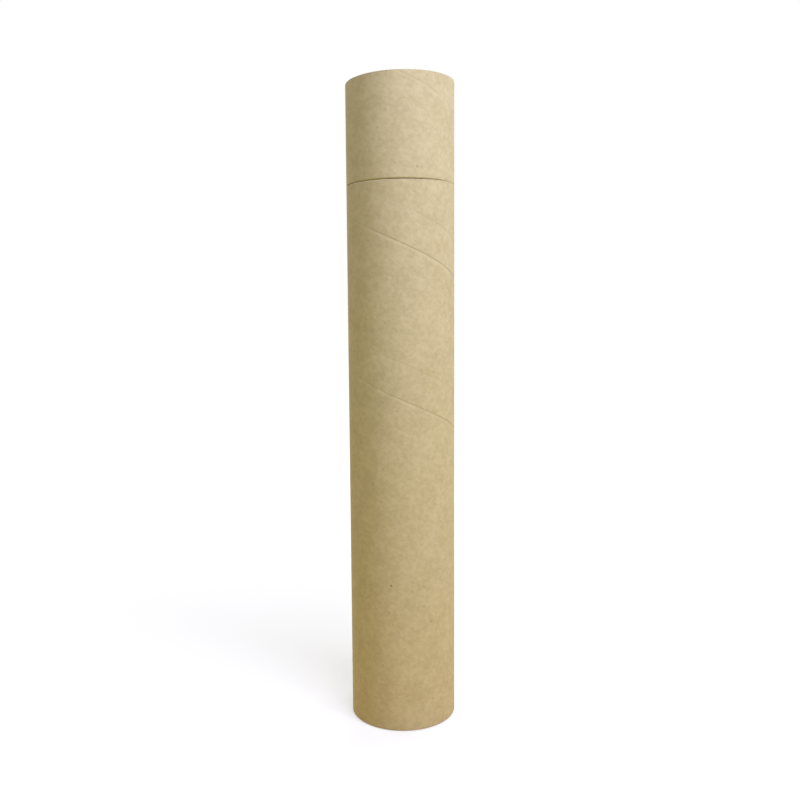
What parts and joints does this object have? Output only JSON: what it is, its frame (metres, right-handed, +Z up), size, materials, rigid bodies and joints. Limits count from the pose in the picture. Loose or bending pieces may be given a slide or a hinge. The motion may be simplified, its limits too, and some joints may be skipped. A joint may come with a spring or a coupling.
{
  "type": "kraft paper storage tube",
  "caption": "Upright round storage tube of spiral-wound kraft paper, with a lift-off cap of the same diameter that closes flush over an inner neck.",
  "frame": {"origin": "centre of the base rim, on the surface that the tube stands on", "axes": "+Z up along the tube's axis towards the cap; the front, where the spiral seam falls to the right, faces -Y"},
  "size_m": [0.052, 0.052, 0.31],
  "materials": {
    "kraft_wrap": "matt unbleached kraft paper, finely mottled",
    "kraft_liner": "matt unbleached kraft paper, a little darker",
    "disc_board": "matt kraft-faced board"
  },
  "bodies": {
    "tube": {"body_tube": "kraft_wrap", "inner_tube": "kraft_liner", "base_disc": "disc_board"},
    "cap": {"cap_tube": "kraft_wrap", "cap_disc": "disc_board"}
  },
  "joints": [
    {"name": "cap_lift", "type": "slide", "parent": "tube", "child": "cap", "axis": [0, 0, 1], "range_m": [0, 0.058]}
  ]
}
